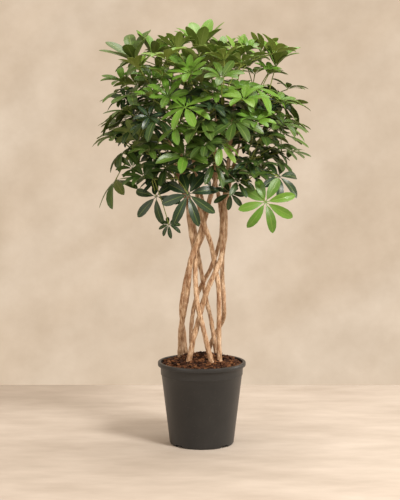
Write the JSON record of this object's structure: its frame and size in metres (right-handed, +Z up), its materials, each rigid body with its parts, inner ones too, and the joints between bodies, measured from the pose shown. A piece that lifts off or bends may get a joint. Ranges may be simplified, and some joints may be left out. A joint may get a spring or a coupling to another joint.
{
  "type": "potted umbrella tree",
  "caption": "Indoor umbrella tree with braided open-lattice trunks and a rounded crown of whorled leaves, growing in a plain black nursery pot.",
  "frame": {"origin": "centre of the pot's underside, on the surface it stands on", "axes": "+Z up along the trunks, -Y towards the front of the tree, +X to the right as seen from the front"},
  "size_m": [0.6752, 0.6537, 1.2936],
  "materials": {
    "pot_plastic": "satin moulded plastic",
    "potting_mix": "loose bark and coir mix",
    "bark": "matt bark",
    "foliage": "glossy leaf"
  },
  "bodies": {
    "root": {"nursery_pot": "pot_plastic", "potting_soil": "potting_mix", "stem_1": "bark", "stem_2": "bark", "stem_3": "bark", "stem_4": "bark", "stem_5": "bark", "stem_6": "bark", "stem_7": "bark", "stem_8": "bark", "stem_1_leafy_shoot_1": "foliage", "stem_1_leafy_shoot_2": "foliage", "stem_1_leafy_shoot_3": "foliage", "stem_1_leafy_shoot_4": "foliage", "stem_1_leafy_shoot_5": "foliage", "stem_2_leafy_shoot_1": "foliage", "stem_2_leafy_shoot_2": "foliage", "stem_2_leafy_shoot_3": "foliage", "stem_2_leafy_shoot_4": "foliage", "stem_2_leafy_shoot_5": "foliage", "stem_3_leafy_shoot_1": "foliage", "stem_3_leafy_shoot_2": "foliage", "stem_3_leafy_shoot_3": "foliage", "stem_3_leafy_shoot_4": "foliage", "stem_3_leafy_shoot_5": "foliage", "stem_4_leafy_shoot_1": "foliage", "stem_4_leafy_shoot_2": "foliage", "stem_4_leafy_shoot_3": "foliage", "stem_4_leafy_shoot_4": "foliage", "stem_4_leafy_shoot_5": "foliage", "stem_5_leafy_shoot_1": "foliage", "stem_5_leafy_shoot_2": "foliage", "stem_5_leafy_shoot_3": "foliage", "stem_5_leafy_shoot_4": "foliage", "stem_5_leafy_shoot_5": "foliage", "stem_6_leafy_shoot_1": "foliage", "stem_6_leafy_shoot_2": "foliage", "stem_6_leafy_shoot_3": "foliage", "stem_6_leafy_shoot_4": "foliage", "stem_6_leafy_shoot_5": "foliage", "stem_7_leafy_shoot_1": "foliage", "stem_7_leafy_shoot_2": "foliage", "stem_7_leafy_shoot_3": "foliage", "stem_7_leafy_shoot_4": "foliage", "stem_7_leafy_shoot_5": "foliage", "stem_8_leafy_shoot_1": "foliage", "stem_8_leafy_shoot_2": "foliage", "stem_8_leafy_shoot_3": "foliage", "stem_8_leafy_shoot_4": "foliage", "stem_8_leafy_shoot_5": "foliage"}
  },
  "joints": []
}
